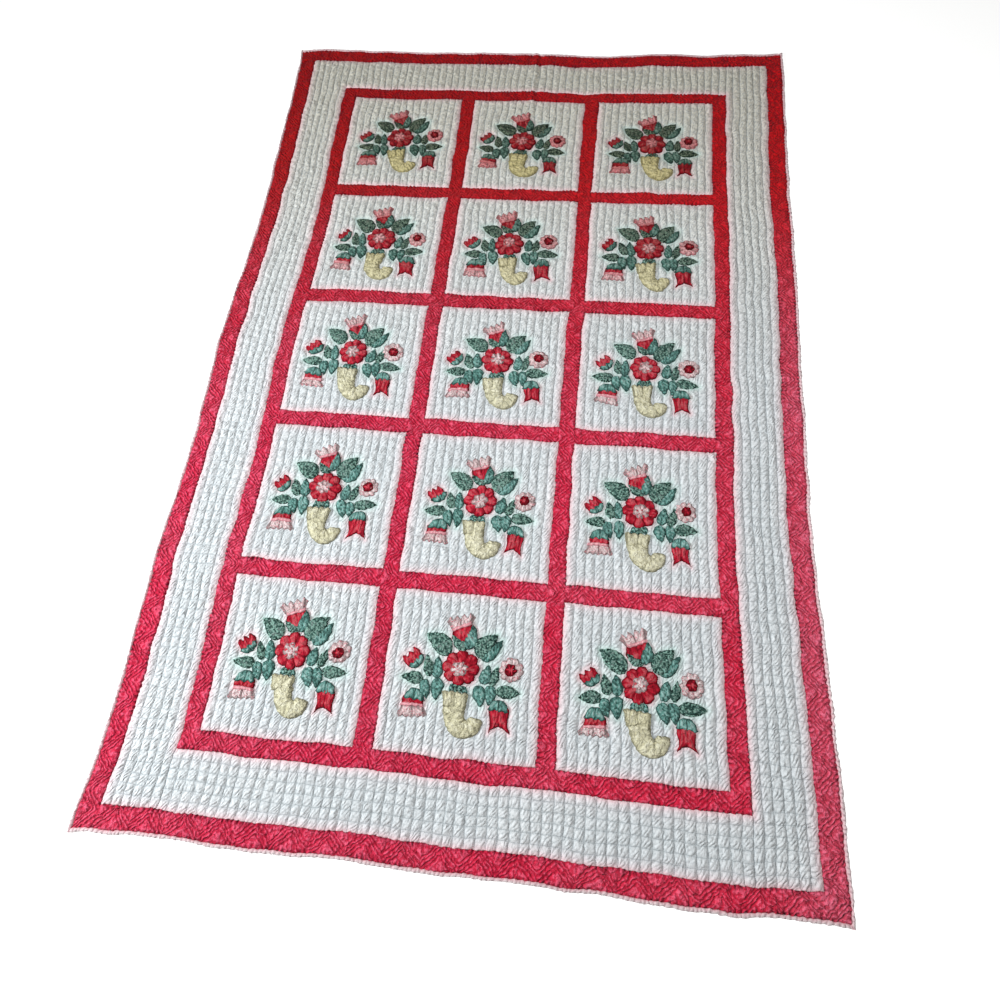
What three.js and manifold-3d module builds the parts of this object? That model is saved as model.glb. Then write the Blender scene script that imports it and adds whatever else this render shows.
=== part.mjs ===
// A single-bed applique quilt that lies open on the floor.
// White blocks in three columns are framed by red strips, then a white border, a red border and a binding.
// X runs across the quilt, Y up its length to the head end, Z up from the floor. Millimetres.

import * as THREE from 'three';
import Module from 'manifold-3d';
import { mergeVertices } from 'three/addons/utils/BufferGeometryUtils.js';

const wasm = await Module();
wasm.setup();

// Seam to seam sizes; each piece stops a hair short of its neighbour
const SEAM_GAP = 0.3;
const STRIP = 40;
const COLUMN_PITCH = 381;
const FIRST_STRIP_X = -568;
const STRIP_X = [0, 1, 2, 3].map((i) => FIRST_STRIP_X + i * COLUMN_PITCH);
const STRIP_Y = [967, 566, 184, -200, -594, -980];
const WHITE_BORDER = 121;
const RED_BORDER = 45;
const BINDING = 8;

// Heights above the floor
const STITCH_HEIGHT = 3.5;
const CHANNEL_HEIGHT = 6.5;
const ZIGZAG_HEIGHT = 5.2;
const BINDING_HEIGHT = 6;
const BINDING_ROUND = 2;
const PATCH_THICKNESS = 1.2;
const ROSE_THICKNESS = 2.2;

// Quilting
const CHANNEL = 21;
const CHANNEL_END = 9;
const MANY_RUNS = 4;
const ZIGZAG = 84;

// Where each ring of the quilt ends
const FRAME = {
  left: STRIP_X[0] - STRIP / 2,
  right: STRIP_X[3] + STRIP / 2,
  head: STRIP_Y[0] + STRIP / 2,
  foot: STRIP_Y[5] - STRIP / 2,
};
const WHITE = grown(FRAME, WHITE_BORDER);
const RED = grown(WHITE, RED_BORDER);
const EDGE = grown(RED, BINDING);

// How far the side edges lie outside their drawn lines, a row for each place up the length
const SIDE_SWAY = [
  { y: EDGE.foot, left: 13, right: 17 },
  { y: FRAME.foot, left: -3, right: 14 },
  { y: -787, left: -5, right: 6 },
  { y: -574, left: 3, right: -3 },
  { y: -397, left: -2, right: -9 },
  { y: -180, left: -1, right: -6 },
  { y: -8, left: 7, right: -6 },
  { y: 204, left: 3, right: -1 },
  { y: 375, left: -4, right: 1 },
  { y: 586, left: -3, right: -2 },
  { y: 766, left: 6, right: 0 },
  { y: FRAME.head, left: 14, right: 7 },
  { y: EDGE.head, left: 24, right: 9 },
];

// How far the end edges lie outside their drawn lines, a row for each place across the width
const END_SWAY = [
  { x: EDGE.left, head: 10, foot: 4 },
  { x: FRAME.left - WHITE_BORDER / 2, head: 17, foot: -2 },
  { x: STRIP_X[0] + STRIP / 2, head: 13, foot: -4 },
  { x: STRIP_X[0] + COLUMN_PITCH / 2, head: 6, foot: -1 },
  { x: STRIP_X[1] - STRIP / 2, head: 5, foot: -7 },
  { x: STRIP_X[1] + COLUMN_PITCH / 2, head: 3, foot: -4 },
  { x: STRIP_X[2] + STRIP / 2, head: -7, foot: -7 },
  { x: STRIP_X[2] + COLUMN_PITCH / 2, head: 4, foot: -3 },
  { x: STRIP_X[3] - STRIP / 2, head: 3, foot: -1 },
  { x: FRAME.right + WHITE_BORDER / 2, head: 9, foot: -7 },
  { x: EDGE.right, head: 10, foot: -9 },
];
const END_SWAY_FADE = 4;

// The applique bouquet, drawn about the middle of its block
const LEAVES = [
  { base: [-18, 26], tip: [-88, 75], width: 40 },
  { base: [18, 24], tip: [77, 90], width: 48 },
  { base: [-74, -26], tip: [-136, -28], width: 25 },
  { base: [66, -26], tip: [131, -28], width: 25 },
];
const LEAF_PAIRS = [
  { inner: -50, outer: -77, top: 34, foot: -61 },
  { inner: 46, outer: 71, top: 34, foot: -63 },
];
const LEAF_HALF = 14;
const LEAF_MIDDLE = -14;
const FLOWERS = [
  { foot: [0, 40], turn: 16, length: 88, neck: 34, brim: 54 },
  { foot: [-78, 4], turn: 52, length: 55, neck: 28, brim: 36 },
  { foot: [-86, -42], turn: 176, length: 63, neck: 40, brim: 64 },
  { foot: [82, -44], turn: 185, length: 64, neck: 36, brim: 42 },
];
const NECK_AT = 0.4;
const FOOT_SHARE = 0.25;
const ROSE = { at: [-4, 11], radius: 38, petals: 7 };
const DAISY = { at: [100, 17], radius: 27, petals: 4 };
const PETAL_DIP = 0.88;
const SMALLEST_EDGE = 0.3;
const HORN = [
  { at: [-7, -20], half: 26 },
  { at: [-7, -66], half: 26 },
  { at: [4, -104], half: 19 },
  { at: [28, -120], half: 15 },
  { at: [47, -106], half: 14 },
  { at: [53, -80], half: 8 },
];

// Cloth colours
const COTTON = { red: 0xc4263c, white: 0xe2e5e4, binding: 0xece8e6, applique: 0x5b8a79 };

function grown(box, by) {
  return { left: box.left - by, right: box.right + by, head: box.head + by, foot: box.foot - by };
}

// A value read between the rows of a table
function between(rows, place, column, at) {
  const last = rows.length - 1;
  let i = rows.findIndex((row) => row[place] >= at);
  i = i < 0 ? last : Math.max(i, 1);
  const low = rows[i - 1];
  const high = rows[i];
  const share = (at - low[place]) / (high[place] - low[place]);
  return low[column] + (high[column] - low[column]) * share;
}

// Where a point of the drawn quilt comes to lie: the edges sway, and the sway fades towards the middle
function lay(x, y) {
  const aside = x < 0 ? -between(SIDE_SWAY, 'y', 'left', y) : between(SIDE_SWAY, 'y', 'right', y);
  const along = y < 0 ? -between(END_SWAY, 'x', 'foot', x) : between(END_SWAY, 'x', 'head', x);
  const across = x < 0 ? x / EDGE.left : x / EDGE.right;
  const up = y < 0 ? y / EDGE.foot : y / EDGE.head;
  return [x + aside * across, y + along * up ** END_SWAY_FADE];
}

// A panel works in its own run (along) and left of the run (aside), turned to the quilt's X and Y
function panelFrame(upright, box) {
  const b = grown(box, -SEAM_GAP / 2);
  const yKnots = SIDE_SWAY.map((row) => row.y);
  const xKnots = END_SWAY.map((row) => row.x);
  if (upright) {
    return {
      start: b.foot, end: b.head, low: -b.right, high: -b.left,
      alongKnots: yKnots, asideKnots: xKnots.map((x) => -x),
      point: (along, aside, z) => [-aside, along, z],
    };
  }
  return {
    start: b.left, end: b.right, low: b.foot, high: b.head,
    alongKnots: xKnots, asideKnots: yKnots,
    point: (along, aside, z) => [along, aside, z],
  };
}

// Places from one to another, ends included, with every knot that falls between
function stations(from, to, knots) {
  const inside = knots.filter((k) => k > from + 1 && k < to - 1);
  return [from, ...inside.sort((a, b) => a - b), to];
}

// One line of points from stretches that meet at the given turns
function joined(turns, stretch) {
  const stretches = turns.slice(1).map((to, i) => stretch(turns[i], to));
  return [...stretches.flatMap((points) => points.slice(0, -1)), stretches.at(-1).at(-1)];
}

// Triangles between two lines that run the same way, the left one first
function zip(left, right, key) {
  const out = [];
  let i = 0;
  let j = 0;
  while (i < left.length - 1 || j < right.length - 1) {
    const stepLeft = j === right.length - 1 || (i < left.length - 1 && key(left[i + 1]) <= key(right[j + 1]));
    if (stepLeft) {
      out.push([left[i], right[j], left[i + 1]]);
      i += 1;
    } else {
      out.push([right[j], right[j + 1], left[i]]);
      j += 1;
    }
  }
  return out;
}

// Triangles from one raised point to each step of an outline
function fan(crown, outline) {
  return outline.map((p, i) => [crown, p, outline[(i + 1) % outline.length]]);
}

// A closed solid from its top triangles: walls under the rim and a flat back on the floor
function clothSolid(top, rim, back) {
  const floor = (p) => [p[0], p[1], 0];
  const faces = [...top];
  rim.forEach((p, i) => {
    const q = rim[(i + 1) % rim.length];
    faces.push([p, floor(p), floor(q)], [p, floor(q), q]);
  });
  back.forEach(([a, b, c]) => faces.push([floor(a), floor(c), floor(b)]));
  const points = faces.flat().flatMap(([x, y, z]) => [...lay(x, y), z]);
  const geometry = new THREE.BufferGeometry();
  geometry.setAttribute('position', new THREE.Float32BufferAttribute(points, 3));
  const welded = mergeVertices(geometry, 1e-3);
  welded.computeVertexNormals();
  return welded;
}

// The rim of a panel, counter-clockwise from its right start corner
function rimOf(rightSide, endRow, leftSide, startRow) {
  return [
    ...rightSide.slice(0, -1),
    ...endRow.slice(0, -1),
    ...leftSide.slice(1).reverse(),
    ...startRow.slice(1).reverse(),
  ];
}

// White cloth quilted in lengthwise channels, each one raised like a hipped roof
function channelPanel(box) {
  const f = panelFrame(true, box);
  const count = Math.max(1, Math.round((f.high - f.low) / CHANNEL));
  const inner = Array.from({ length: count - 1 }, (_, i) => f.low + ((f.high - f.low) * (i + 1)) / count);
  const seams = [f.low, ...inner, f.high];
  const runs = stations(f.start, f.end, f.alongKnots);
  const innerRuns = runs.length > MANY_RUNS ? runs : [f.start, f.end];
  const ridgeRuns = [f.start + CHANNEL_END, ...innerRuns.slice(1, -1), f.end - CHANNEL_END];
  const lineRuns = (aside) => (aside === f.low || aside === f.high ? runs : innerRuns);
  const line = (aside) => lineRuns(aside).map((s) => f.point(s, aside, STITCH_HEIGHT));
  const endLine = (s, from, to) =>
    stations(from, to, f.asideKnots).map((t) => f.point(s, t, STITCH_HEIGHT));
  const byRun = (p) => p[1];
  const top = [];
  for (let i = 0; i < count; i += 1) {
    const [low, high] = [seams[i], seams[i + 1]];
    const ridge = ridgeRuns.map((s) => f.point(s, (low + high) / 2, CHANNEL_HEIGHT));
    const startRow = endLine(f.start, low, high);
    const endRow = endLine(f.end, low, high);
    top.push(...zip(line(high), ridge, byRun), ...zip(ridge, line(low), byRun));
    startRow.slice(1).forEach((p, k) => top.push([ridge[0], p, startRow[k]]));
    endRow.slice(1).forEach((p, k) => top.push([ridge.at(-1), endRow[k], p]));
  }
  const wholeRow = (s) => joined(seams, (from, to) => endLine(s, from, to));
  const [rightSide, leftSide] = [line(f.low), line(f.high)];
  const [startRow, endRow] = [wholeRow(f.start), wholeRow(f.end)];
  const middles = runs.slice(1, -1);
  const spineRuns = middles.length > 0 ? middles : [(f.start + f.end) / 2];
  const spine = spineRuns.map((s) => f.point(s, (f.low + f.high) / 2, 0));
  const back = [...zip(leftSide, spine, byRun), ...zip(spine, rightSide, byRun)];
  startRow.slice(1).forEach((p, k) => back.push([spine[0], p, startRow[k]]));
  endRow.slice(1).forEach((p, k) => back.push([spine.at(-1), endRow[k], p]));
  return clothSolid(top, rimOf(rightSide, endRow, leftSide, startRow), back);
}

// Red cloth quilted in a zigzag, each triangle of it raised a little
function zigzagPanel(upright, box) {
  const f = panelFrame(upright, box);
  const count = Math.max(1, Math.round((f.end - f.start) / ZIGZAG));
  const pitch = (f.end - f.start) / count;
  const leftTurns = Array.from({ length: count + 1 }, (_, i) => f.start + i * pitch);
  const rightTurns = [f.start, ...leftTurns.slice(1).map((s) => s - pitch / 2), f.end];
  const at = (s, aside) => f.point(s, aside, STITCH_HEIGHT);
  const side = (aside, from, to) => stations(from, to, f.alongKnots).map((s) => at(s, aside));
  const crown = (corners) => {
    const mean = (k) => (corners[0][k] + corners[1][k] + corners[2][k]) / 3;
    return [mean(0), mean(1), ZIGZAG_HEIGHT];
  };
  const top = [];
  for (let i = 0; i < count; i += 1) {
    const apex = at(rightTurns[i + 1], f.low);
    const base = side(f.high, leftTurns[i], leftTurns[i + 1]).reverse();
    top.push(...fan(crown([apex, base[0], base.at(-1)]), [apex, ...base]));
  }
  for (let i = 0; i <= count; i += 1) {
    const apex = at(leftTurns[i], f.high);
    const base = side(f.low, rightTurns[i], rightTurns[i + 1]);
    top.push(...fan(crown([apex, base[0], base.at(-1)]), [apex, ...base]));
  }
  const rightSide = joined(rightTurns, (from, to) => side(f.low, from, to));
  const leftSide = joined(leftTurns, (from, to) => side(f.high, from, to));
  const byRun = (p) => (upright ? p[1] : p[0]);
  const startRow = [rightSide[0], leftSide[0]];
  const endRow = [rightSide.at(-1), leftSide.at(-1)];
  return clothSolid(top, rimOf(rightSide, endRow, leftSide, startRow), zip(leftSide, rightSide, byRun));
}

// Binding: a narrow roll of cloth with its upper corners rounded over
function bindingRoll(upright, box) {
  const f = panelFrame(upright, box);
  const runs = stations(f.start, f.end, f.alongKnots);
  const sides = [f.low, f.low + BINDING_ROUND, f.high - BINDING_ROUND, f.high];
  const shoulder = BINDING_HEIGHT - BINDING_ROUND;
  const heights = [shoulder, BINDING_HEIGHT, BINDING_HEIGHT, shoulder];
  const lines = sides.map((aside, k) => runs.map((s) => f.point(s, aside, heights[k])));
  const byRun = (p) => (upright ? p[1] : p[0]);
  const top = [1, 2, 3].flatMap((k) => zip(lines[k], lines[k - 1], byRun));
  const startRow = lines.map((line) => line[0]);
  const endRow = lines.map((line) => line.at(-1));
  const inner = [lines[1], lines[2]];
  const back = [
    ...zip(lines[3], inner[1], byRun),
    ...zip(inner[1], inner[0], byRun),
    ...zip(inner[0], lines[0], byRun),
  ];
  return clothSolid(top, rimOf(lines[0], endRow, lines[3], startRow), back);
}

// A flat patch of cloth from its outline
function patch(outline, thickness) {
  const shape = new THREE.Shape(outline.map(([x, y]) => new THREE.Vector2(x, y)));
  const geometry = new THREE.ExtrudeGeometry(shape, { depth: thickness, bevelEnabled: false, steps: 1 });
  geometry.deleteAttribute('normal');
  geometry.deleteAttribute('uv');
  const welded = mergeVertices(geometry, 1e-4);
  return new wasm.Manifold(new wasm.Mesh({
    numProp: 3,
    vertProperties: new Float32Array(welded.attributes.position.array),
    triVerts: new Uint32Array(welded.index.array),
  }));
}

// A spot beside a line: a share of the way along it and a distance to its left
function beside(from, to, share, out) {
  const run = [to[0] - from[0], to[1] - from[1]];
  const length = Math.hypot(...run);
  const along = (k) => from[k] + run[k] * share;
  return [along(0) - (run[1] / length) * out, along(1) + (run[0] / length) * out];
}

function leafOutline({ base, tip, width }) {
  const side = (share, out) => beside(base, tip, share, out * width);
  return [base, side(0.25, -0.42), side(0.62, -0.46), tip, side(0.62, 0.46), side(0.25, 0.42)];
}

// Four leaves on a side spray: two points up, two down, with a notch between each two
function pairOutline({ inner, outer, top, foot }) {
  const out = Math.sign(outer) * LEAF_HALF;
  const notch = (inner + outer) / 2;
  const rising = (end) => LEAF_MIDDLE + (end - LEAF_MIDDLE) / 2;
  const outline = [
    [outer, top], [notch, rising(top)], [inner, top], [inner - out, LEAF_MIDDLE], [inner, foot],
    [notch, rising(foot)], [outer, foot], [outer + out, LEAF_MIDDLE],
  ];
  return outer > 0 ? outline : outline.reverse();
}

function flowerOutline({ foot, turn, length, neck, brim }) {
  const angle = THREE.MathUtils.degToRad(90 + turn);
  const top = [foot[0] + length * Math.cos(angle), foot[1] + length * Math.sin(angle)];
  const side = (share, out) => beside(foot, top, share, out);
  return [
    side(0, neck * FOOT_SHARE), side(0, -neck * FOOT_SHARE), side(NECK_AT, -neck / 2),
    side(1, -brim / 2), side(1, brim / 2), side(NECK_AT, neck / 2),
  ];
}

function petalledOutline({ at, radius, petals }) {
  return Array.from({ length: petals * 2 }, (_, i) => {
    const reach = i % 2 ? radius : radius * PETAL_DIP;
    const angle = (i * Math.PI) / petals;
    return [at[0] + reach * Math.cos(angle), at[1] + reach * Math.sin(angle)];
  });
}

function hornOutline() {
  const last = HORN.length - 1;
  const flank = (i, sign) => {
    const { at, half } = HORN[i];
    const from = HORN[Math.max(i - 1, 0)].at;
    const to = HORN[Math.min(i + 1, last)].at;
    const run = Math.hypot(to[0] - from[0], to[1] - from[1]);
    return [at[0] - (sign * half * (to[1] - from[1])) / run, at[1] + (sign * half * (to[0] - from[0])) / run];
  };
  return [...HORN.map((_, i) => flank(i, -1)), ...HORN.map((_, i) => flank(last - i, 1))];
}

// One bouquet: every patch of it sewn together into one solid
function bouquetSolid() {
  const flat = [
    ...LEAVES.map(leafOutline), ...LEAF_PAIRS.map(pairOutline), ...FLOWERS.map(flowerOutline),
    petalledOutline(DAISY), hornOutline(),
  ].map((outline) => patch(outline, PATCH_THICKNESS));
  const whole = wasm.Manifold.union([...flat, patch(petalledOutline(ROSE), ROSE_THICKNESS)]);
  const mesh = whole.asOriginal().simplify(SMALLEST_EDGE).getMesh();
  const geometry = new THREE.BufferGeometry();
  geometry.setAttribute('position', new THREE.Float32BufferAttribute(mesh.vertProperties, 3));
  geometry.setIndex(new THREE.Uint32BufferAttribute(mesh.triVerts, 1));
  geometry.computeVertexNormals();
  return geometry;
}

const quilt = new THREE.Group();
quilt.name = 'applique_quilt';

function sew(name, geometry, colour) {
  const material = new THREE.MeshStandardMaterial({ color: colour, roughness: 0.9, metalness: 0 });
  const mesh = new THREE.Mesh(geometry, material);
  mesh.name = name;
  quilt.add(mesh);
  return mesh;
}

const columns = [0, 1, 2].map((c) => ({ left: STRIP_X[c] + STRIP / 2, right: STRIP_X[c + 1] - STRIP / 2 }));
const rows = [0, 1, 2, 3, 4].map((r) => ({ head: STRIP_Y[r] - STRIP / 2, foot: STRIP_Y[r + 1] + STRIP / 2 }));

// Blocks with their bouquets, and the short strips below all but the last row
const bouquet = bouquetSolid();
rows.forEach((row, r) => columns.forEach((column, c) => {
  const place = `r${r + 1}c${c + 1}`;
  sew(`block_${place}`, channelPanel({ ...column, ...row }), COTTON.white);
  const spray = sew(`bouquet_${place}`, bouquet.clone(), COTTON.applique);
  const [x, y] = lay((column.left + column.right) / 2, (row.head + row.foot) / 2);
  spray.position.set(x, y, CHANNEL_HEIGHT + SEAM_GAP);
  if (r < rows.length - 1) {
    const short = { ...column, head: row.foot, foot: rows[r + 1].head };
    sew(`strip_${place}`, zigzagPanel(false, short), COTTON.red);
  }
}));

// Long strips up the quilt, and the two that cap them
STRIP_X.forEach((x, i) => {
  const long = { left: x - STRIP / 2, right: x + STRIP / 2, head: rows[0].head, foot: rows[4].foot };
  sew(`strip_long_${i + 1}`, zigzagPanel(true, long), COTTON.red);
});
sew('strip_head', zigzagPanel(false, { ...FRAME, foot: rows[0].head }), COTTON.red);
sew('strip_foot', zigzagPanel(false, { ...FRAME, head: rows[4].foot }), COTTON.red);

// A ring of four pieces: the sides run the whole length and the ends fit between them
function ring(name, inner, outer, side, end, colour) {
  sew(`${name}_left`, side({ ...outer, right: inner.left }), colour);
  sew(`${name}_right`, side({ ...outer, left: inner.right }), colour);
  sew(`${name}_head`, end({ ...outer, left: inner.left, right: inner.right, foot: inner.head }), colour);
  sew(`${name}_foot`, end({ ...outer, left: inner.left, right: inner.right, head: inner.foot }), colour);
}

ring('white_border', FRAME, WHITE, channelPanel, channelPanel, COTTON.white);
ring('red_border', WHITE, RED, (box) => zigzagPanel(true, box), (box) => zigzagPanel(false, box), COTTON.red);
ring('binding', RED, EDGE, (box) => bindingRoll(true, box), (box) => bindingRoll(false, box), COTTON.binding);

export default quilt;
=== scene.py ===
# %% [markdown]
# # An applique quilt, spread out on the floor
# The real thing is a single-bed quilt: fifteen white blocks in red strips, a white border, a red border and a
# narrow white binding. Each block carries a sewn-on bouquet, and the whole cloth is quilted, so every part of
# it is a small pillow between two rows of stitches.
# The frame gives one plain solid for each piece. This lesson lays a finer sheet of cloth over each of them.
# Lengths on the quilt are noted in millimetres, as on a quilter's plan, and MM turns them into Blender's
# metres. The camera and the lights are placed in metres.

# %% Load the frame
import math

import bpy
import numpy as np
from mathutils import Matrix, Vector, kdtree


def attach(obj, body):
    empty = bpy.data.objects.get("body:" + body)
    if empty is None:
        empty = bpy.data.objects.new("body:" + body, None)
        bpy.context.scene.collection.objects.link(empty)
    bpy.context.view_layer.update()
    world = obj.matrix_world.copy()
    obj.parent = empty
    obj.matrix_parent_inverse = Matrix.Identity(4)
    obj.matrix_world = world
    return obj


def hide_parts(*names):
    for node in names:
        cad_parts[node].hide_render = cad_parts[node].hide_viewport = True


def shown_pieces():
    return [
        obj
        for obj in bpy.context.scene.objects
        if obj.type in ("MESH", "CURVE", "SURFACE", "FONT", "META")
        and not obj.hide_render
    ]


MM = 0.001
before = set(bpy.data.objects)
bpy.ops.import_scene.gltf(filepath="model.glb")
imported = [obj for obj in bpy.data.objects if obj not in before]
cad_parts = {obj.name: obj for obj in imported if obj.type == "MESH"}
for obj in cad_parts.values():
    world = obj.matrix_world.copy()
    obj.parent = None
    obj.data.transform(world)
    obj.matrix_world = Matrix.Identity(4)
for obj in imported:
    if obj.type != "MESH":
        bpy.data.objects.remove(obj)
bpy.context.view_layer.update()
bpy.ops.object.select_all(action="DESELECT")
print("solids in the frame:", len(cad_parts))

# %% [markdown]
# ## The camera
# The quilt was looked at from above its foot end, a little to the right. The straight seams of the block grid
# give the lens and the place of the eye, so the camera is set once, here, and nothing later moves it.

# %% The camera
EYE = (0.181, -0.8847, 1.3775)
LOOK_DEGREES = (20.477, 3.476, 5.876)
SENSOR_WIDTH, FOCAL_LENGTH = 36, 22.225
bpy.ops.object.camera_add(location=EYE, rotation=[math.radians(angle) for angle in LOOK_DEGREES])
camera = bpy.context.object
camera.data.sensor_width = SENSOR_WIDTH
camera.data.lens = FOCAL_LENGTH
bpy.context.scene.camera = camera
print("camera height, m:", round(camera.location.z, 3))

# %% [markdown]
# ## The plan of the quilt
# A quilter draws the top as straight seams. The four numbers of a box say where a piece ends on each side.

# %% Seam to seam sizes
FIRST_STRIP, PITCH = -568, 381
STRIP, HALF_STRIP = 40, 20
WHITE_BORDER, RED_BORDER, BINDING = 121, 45, 8
STRIP_X = [FIRST_STRIP + PITCH * i for i in range(4)]
STRIP_Y = [967, 566, 184, -200, -594, -980]


def box_of(left, right, foot, head):
    return {"left": left, "right": right, "foot": foot, "head": head}


def grown(box, by):
    """A box that reaches further on every side."""
    return box_of(box["left"] - by, box["right"] + by, box["foot"] - by, box["head"] + by)


FRAMED = grown(box_of(STRIP_X[0], STRIP_X[-1], STRIP_Y[-1], STRIP_Y[0]), HALF_STRIP)
WHITE = grown(FRAMED, WHITE_BORDER)
RED = grown(WHITE, RED_BORDER)
EDGE = grown(RED, BINDING)
print("drawn width and length, mm:", EDGE["right"] - EDGE["left"], EDGE["head"] - EDGE["foot"])


# %% [markdown]
# ## Every piece of the plan
# Strips and borders that stand upright run along Y, the others along X. Side pieces of a ring run its whole
# length and the end pieces fit between them. The names match the solids.

# %% List the pieces
def ring(kind, inner, outer):
    """The four pieces between two boxes."""
    return {
        f"{kind}_left": box_of(outer["left"], inner["left"], outer["foot"], outer["head"]),
        f"{kind}_right": box_of(inner["right"], outer["right"], outer["foot"], outer["head"]),
        f"{kind}_head": box_of(inner["left"], inner["right"], inner["head"], outer["head"]),
        f"{kind}_foot": box_of(inner["left"], inner["right"], outer["foot"], inner["foot"]),
    }


columns = [(left + HALF_STRIP, right - HALF_STRIP) for left, right in zip(STRIP_X, STRIP_X[1:])]
rows = [(foot + HALF_STRIP, head - HALF_STRIP) for head, foot in zip(STRIP_Y, STRIP_Y[1:])]
blocks = {}
strips = {}
for r, (foot, head) in enumerate(rows, 1):
    for c, (left, right) in enumerate(columns, 1):
        blocks[f"block_r{r}c{c}"] = box_of(left, right, foot, head)
        if r < len(rows):
            strips[f"strip_r{r}c{c}"] = box_of(left, right, foot - STRIP, foot)
for i, x in enumerate(STRIP_X, 1):
    strips[f"strip_long_{i}"] = box_of(x - HALF_STRIP, x + HALF_STRIP, rows[-1][0], rows[0][1])
strips["strip_head"] = box_of(FRAMED["left"], FRAMED["right"], rows[0][1], FRAMED["head"])
strips["strip_foot"] = box_of(FRAMED["left"], FRAMED["right"], FRAMED["foot"], rows[-1][0])
white_borders = ring("white_border", FRAMED, WHITE)
red_borders = ring("red_border", WHITE, RED)
bindings = ring("binding", RED, EDGE)
red_boxes = [*strips.values(), *red_borders.values()]
white_boxes = [*blocks.values(), *white_borders.values(), *bindings.values()]


def gap_to(boxes, x, y):
    """How far each point is from the nearest of some boxes."""
    gap = np.full(np.shape(x), np.inf)
    for box in boxes:
        dx = np.maximum(0, np.maximum(box["left"] - x, x - box["right"]))
        dy = np.maximum(0, np.maximum(box["foot"] - y, y - box["head"]))
        gap = np.minimum(gap, np.hypot(dx, dy))
    return gap


print("blocks", len(blocks), "strips", len(strips), "pieces of one border", len(bindings))


# %% [markdown]
# ## How the cloth lies
# No quilt lies as straight as its plan. The edges sway in and out by a centimetre or two, and the sway fades
# towards the middle. `eased` draws a soft line through a few measured offsets, and `lay` moves a drawn point
# to where it really lies. One shared rule for all pieces keeps neighbours together along their seam.

# %% The sway of the edges
def eased(places, values, at):
    """A smooth line through a short list of offsets."""
    places, values = np.asarray(places, float), np.asarray(values, float)
    slopes = np.gradient(values, places)
    i = np.clip(np.searchsorted(places, at) - 1, 0, len(places) - 2)
    step = places[i + 1] - places[i]
    t = np.clip((at - places[i]) / step, 0, 1)
    rise = values[i] * (1 + 2 * t) * (1 - t) ** 2 + values[i + 1] * t * t * (3 - 2 * t)
    return rise + step * t * (1 - t) * (slopes[i] * (1 - t) - slopes[i + 1] * t)


SIDE_Y = [-1174, -1000, -787, -574, -397, -180, -8, 204, 375, 586, 766, 987, 1161]
LEFT_OUT = [13, -3, -5, 3, -2, -1, 7, 3, -4, -3, 6, 14, 24]
RIGHT_OUT = [17, 14, 6, -3, -9, -6, -6, -1, 1, -2, 0, 7, 9]
END_X = [-762, -648.5, -548, -377.5, -207, 3.5, 214, 384.5, 555, 655.5, 769]
HEAD_OUT = [10, 17, 13, 6, 5, 3, -7, 4, 3, 9, 10]
FOOT_OUT = [4, -2, -4, -1, -7, -4, -7, -3, -1, -7, -9]


# %% [markdown]
# Puckers, swells and wandering seams all come from one helper: a handful of straight waves that head about
# the same way, each with its own length and start. Their sum never repeats, and a fixed seed gives it again
# each run.

# %% Ripples in cloth
def ripples(seed, count, shortest, longest, heading=0.0, spread=180.0):
    """Waves that head about one way, in degrees from X, added up to a height of about one."""
    dice = np.random.default_rng(seed)
    turn = 2 * np.pi / dice.uniform(shortest, longest, count)
    angle = np.radians(heading + dice.uniform(-spread, spread, count))
    start = dice.uniform(0, 2 * np.pi, count)

    def height(x, y):
        total = np.zeros(np.shape(x))
        for k, a, s in zip(turn, angle, start):
            total += np.cos(k * (np.cos(a) * x + np.sin(a) * y) + s)
        return total * math.sqrt(2 / count)

    return height


wander_x = ripples(11, 14, 70, 240)
wander_y = ripples(12, 14, 70, 240)
tug_x = ripples(13, 16, 9, 15)
tug_y = ripples(14, 16, 9, 15)
swell_long = ripples(15, 12, 160, 420)
swell_short = ripples(16, 18, 45, 110)
WANDER, TUG_ASIDE, TUG_ALONG = 1.1, 0.7, 0.5
LONG_SWELL, SHORT_SWELL = 0.55, 0.35
CREASE_X, CREASE_RISE, CREASE_WIDE = 8, 1.1, 7
DIP_ASIDE, DIP_DEPTH, DIP_WIDE = 13, 0.7, 9
SHARPER_FROM, SHARPER_WITHIN, SHARPER_BY = 700, 350, 1.8


def lay(x, y):
    """Where a drawn point comes to lie, in mm."""
    left, right = eased(SIDE_Y, LEFT_OUT, y), eased(SIDE_Y, RIGHT_OUT, y)
    head, foot = eased(END_X, HEAD_OUT, x), eased(END_X, FOOT_OUT, x)
    aside = np.where(x < 0, -left * (x / EDGE["left"]), right * (x / EDGE["right"]))
    along = np.where(y < 0, -foot * (y / EDGE["foot"]) ** 4, head * (y / EDGE["head"]) ** 4)
    return (
        x + aside + WANDER * wander_x(x, y) + TUG_ASIDE * tug_x(x, y),
        y + along + WANDER * wander_y(x, y) + TUG_ALONG * tug_y(x, y),
    )


def swell(x, y):
    """How far the whole thickness lifts or sinks, with the old fold down the middle, sharpest at the head."""
    crease = CREASE_RISE * np.exp(-(((x - CREASE_X) / CREASE_WIDE) ** 2))
    dip = DIP_DEPTH * np.exp(-(((x - CREASE_X - DIP_ASIDE) / DIP_WIDE) ** 2))
    sharper = 1 + SHARPER_BY * np.clip((y - SHARPER_FROM) / SHARPER_WITHIN, 0, 1)
    return LONG_SWELL * swell_long(x, y) + SHORT_SWELL * swell_short(x, y) + (crease - dip) * sharper


print("the head edge sways, mm:", np.round(eased(END_X, HEAD_OUT, np.linspace(-760, 760, 5)), 1))


# %% [markdown]
# ## A sheet from a grid
# A grid is the natural start for quilted cloth: its lines can follow the rows of stitches. Blender's grid
# comes evenly spaced, so the code reads which line each point is on and moves it to the line's real place.
# The rim is then pulled straight down and closed with one face, which gives a thin closed sheet.

# %% Grid helpers
SMOOTH_BELOW = math.radians(75)


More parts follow.
